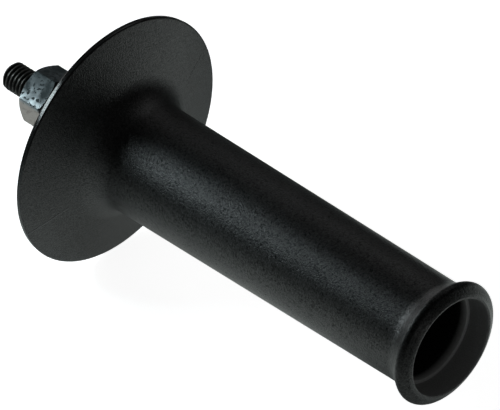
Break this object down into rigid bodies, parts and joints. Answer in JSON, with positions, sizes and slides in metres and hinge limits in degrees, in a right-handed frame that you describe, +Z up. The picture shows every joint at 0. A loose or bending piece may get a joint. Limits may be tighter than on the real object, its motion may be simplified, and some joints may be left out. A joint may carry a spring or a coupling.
{
  "type": "power tool side handle",
  "caption": "Hollow moulded side handle with a round hand guard, a beaded open end, a clamping nut and a projecting threaded stud.",
  "frame": {"origin": "centre of the nut's outer face, which bears on the tool, on the axis of the thread", "axes": "+X along the handle from the tool to the open end, +Z up with the handle held level, +Y across"},
  "size_m": [0.1604, 0.0712, 0.0712],
  "materials": {
    "moulding": "satin, fine moulded grain",
    "black_steel": "black oxide",
    "zinc_steel": "blotchy zinc plating"
  },
  "bodies": {
    "root": {"handle_body": "moulding", "bolt": "black_steel", "hex_nut": "zinc_steel"}
  },
  "joints": []
}
